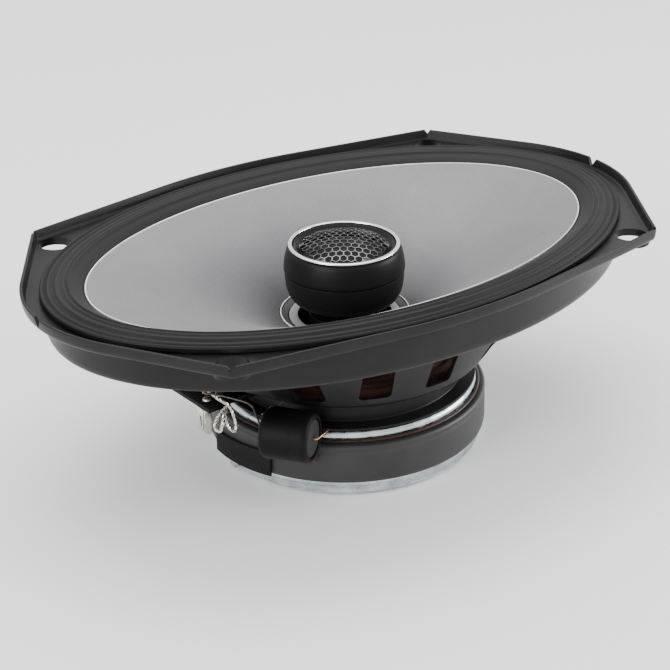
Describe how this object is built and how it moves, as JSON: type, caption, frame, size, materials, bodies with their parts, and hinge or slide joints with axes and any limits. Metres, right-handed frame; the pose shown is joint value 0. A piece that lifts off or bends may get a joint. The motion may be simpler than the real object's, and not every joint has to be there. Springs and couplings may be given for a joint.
{
  "type": "coaxial car speaker",
  "caption": "Oval coaxial car speaker with a pressed steel frame, ribbed rubber surround, woven cone, tweeter pod on a post, booted ring magnet, terminal board and crossover capacitor.",
  "frame": {"origin": "under the middle of the yoke's flat back face, which is also the bottom centre of the bounding box", "axes": "+Z is the way the speaker faces, +X runs along the long axis of the oval away from the terminals, +Y completes the right hand"},
  "size_m": [0.2366, 0.156, 0.078],
  "materials": {
    "black_steel": "satin black powder coat",
    "zinc": "bright zinc plate",
    "steel": "plain satin",
    "ferrite": "matte sintered",
    "rubber": "matte",
    "black_plastic": "satin",
    "woven_cone": "woven, metallic grey",
    "collar": "satin grey",
    "pale_ring": "satin pale grey",
    "kapton": "amber film",
    "copper": "enamelled copper",
    "treated_cloth": "resin-treated weave",
    "silk": "coated",
    "chrome": "polished",
    "grille_mesh": "dark satin mesh",
    "glue": "cured bead",
    "black_fibre": "matte board",
    "tin": "tin plate",
    "tinned_braid": "tinned braid",
    "foam": "matte foam"
  },
  "bodies": {
    "frame": {"basket": "black_steel", "magnet_boot": "rubber", "boot_seal_ring": "glue", "front_plate": "zinc", "t_yoke": "zinc", "magnet": "ferrite", "surround": "rubber", "spider": "treated_cloth", "tweeter_post": "black_plastic", "tweeter_lower_cup": "black_plastic", "tweeter_housing": "black_plastic", "tweeter_trim_ring": "chrome", "tweeter_faceplate": "black_plastic", "tweeter_grille": "grille_mesh", "tweeter_yoke_cup": "steel", "tweeter_magnet": "ferrite", "tweeter_pole_plate": "steel", "frame_rivet_1": "steel", "frame_rivet_2": "steel", "frame_rivet_3": "steel", "frame_rivet_4": "steel", "terminal_board": "black_fibre", "terminal_blade_wide": "tin", "terminal_blade_narrow": "tin", "terminal_rivet": "steel", "board_rivet_1": "steel", "board_rivet_2": "steel", "tinsel_lead_positive": "tinned_braid", "tinsel_lead_negative": "tinned_braid", "capacitor_sleeve": "rubber", "capacitor": "ferrite", "capacitor_lead_input": "copper", "capacitor_lead_output": "copper", "capacitor_adhesive": "glue", "side_pad": "foam", "yoke_rivet": "steel"},
    "cone": {"cone": "woven_cone", "cone_collar": "collar", "neck_ring": "pale_ring", "voice_coil": "copper", "voice_coil_former": "kapton"},
    "tweeter_diaphragm": {"tweeter_dome": "silk", "tweeter_voice_coil": "copper"}
  },
  "joints": [
    {"name": "cone_travel", "type": "slide", "parent": "frame", "child": "cone", "axis": [0, 0, 1], "range_m": [-0.0045, 0.0045], "stiffness_N_per_m": 1500, "deforming": ["surround", "spider", "tinsel_lead_positive", "tinsel_lead_negative"]},
    {"name": "tweeter_travel", "type": "slide", "parent": "frame", "child": "tweeter_diaphragm", "axis": [0, 0, 1], "range_m": [-0.0003, 0.0003], "stiffness_N_per_m": 50}
  ]
}
